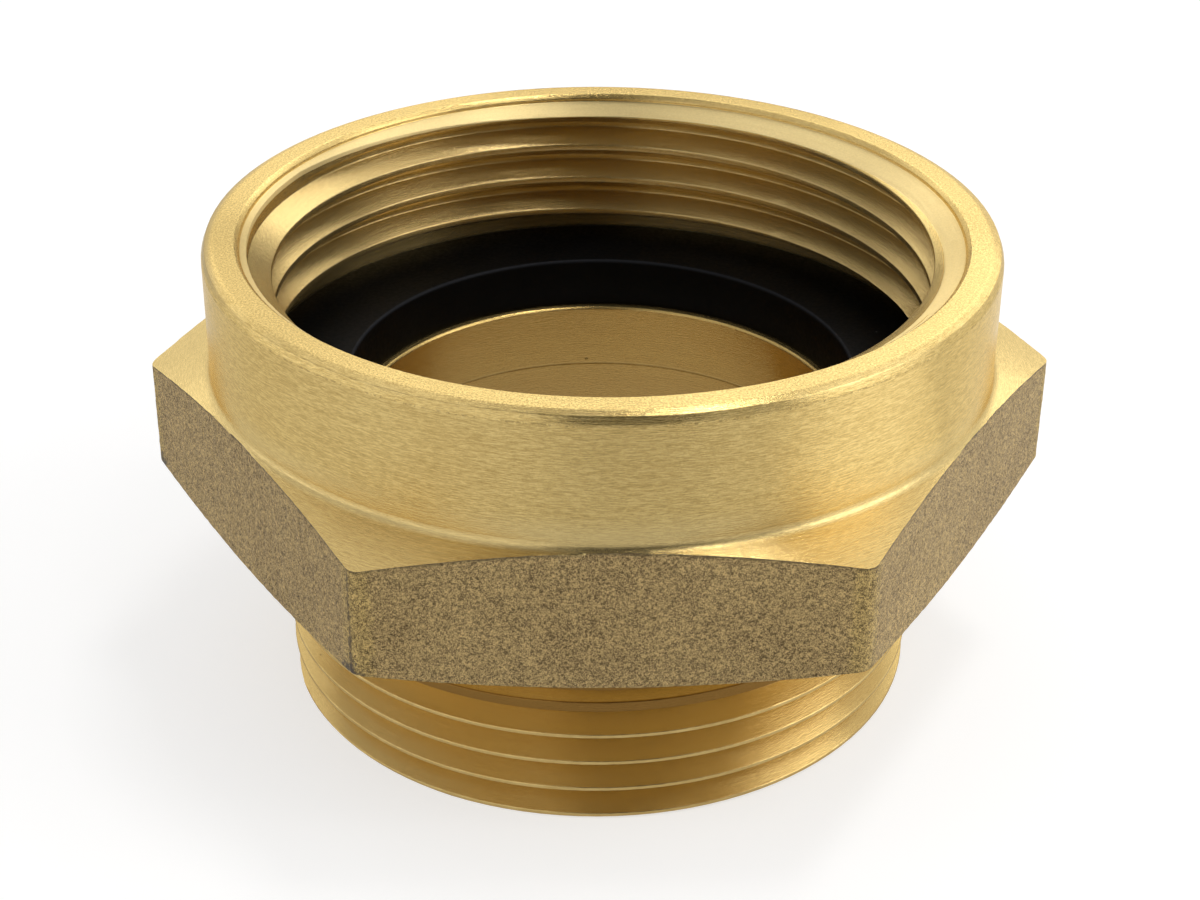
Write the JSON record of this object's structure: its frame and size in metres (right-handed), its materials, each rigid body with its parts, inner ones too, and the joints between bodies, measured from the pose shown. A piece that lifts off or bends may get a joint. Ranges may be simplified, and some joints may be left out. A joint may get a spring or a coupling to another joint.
{
  "type": "fire hose adapter",
  "caption": "Brass hose adapter with a wrench hexagon, a coarse female hose thread with a rubber gasket above and a tapered male pipe thread below.",
  "frame": {"origin": "centre of the male thread's foot, in the plane it stands on", "axes": "+Z along the common axis of both threads, from the pipe end to the hose end; +X through a corner of the hexagon"},
  "size_m": [0.0664, 0.0578, 0.035],
  "materials": {
    "brass": "satin, turned; hexagon sides rough as cast",
    "rubber": "smooth moulded"
  },
  "bodies": {
    "root": {"adapter_body": "brass", "hose_gasket": "rubber"}
  },
  "joints": []
}
